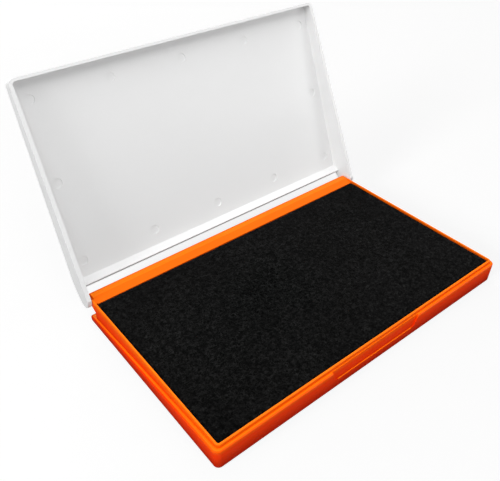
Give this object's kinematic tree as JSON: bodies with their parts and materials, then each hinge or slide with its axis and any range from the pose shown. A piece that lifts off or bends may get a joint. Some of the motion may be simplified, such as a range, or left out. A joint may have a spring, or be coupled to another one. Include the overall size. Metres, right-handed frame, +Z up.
{
  "type": "ink pad",
  "caption": "Large rectangular ink pad: a tapered plastic tray with a felt pad, a wide hinge rail at the back and a shallow lid that swings open on short pins.",
  "frame": {"origin": "under the middle of the tray, on the flat face that it stands on", "axes": "+X along the hinge to the right, +Y towards the hinge, +Z up"},
  "size_m": [0.1662, 0.1413, 0.1023],
  "materials": {
    "tray_plastic": "satin moulded polystyrene, orange",
    "lid_plastic": "satin moulded polystyrene, white",
    "pin_plastic": "smooth, orange",
    "inked_cloth": "matt felted cloth soaked in black ink",
    "felt": "dense inked felt",
    "board": "grey-brown board"
  },
  "bodies": {
    "tray": {"base_tray": "tray_plastic", "hinge_pin_left": "pin_plastic", "hinge_pin_right": "pin_plastic", "backing_board": "board", "felt_core": "felt", "ink_cloth": "inked_cloth"},
    "lid": {"lid": "lid_plastic"}
  },
  "joints": [
    {"name": "lid_hinge", "type": "hinge", "parent": "tray", "child": "lid", "pos_m": [0, 0.04855, 0.0095], "axis": [1, 0, 0], "range_deg": [0, 110.6]}
  ]
}
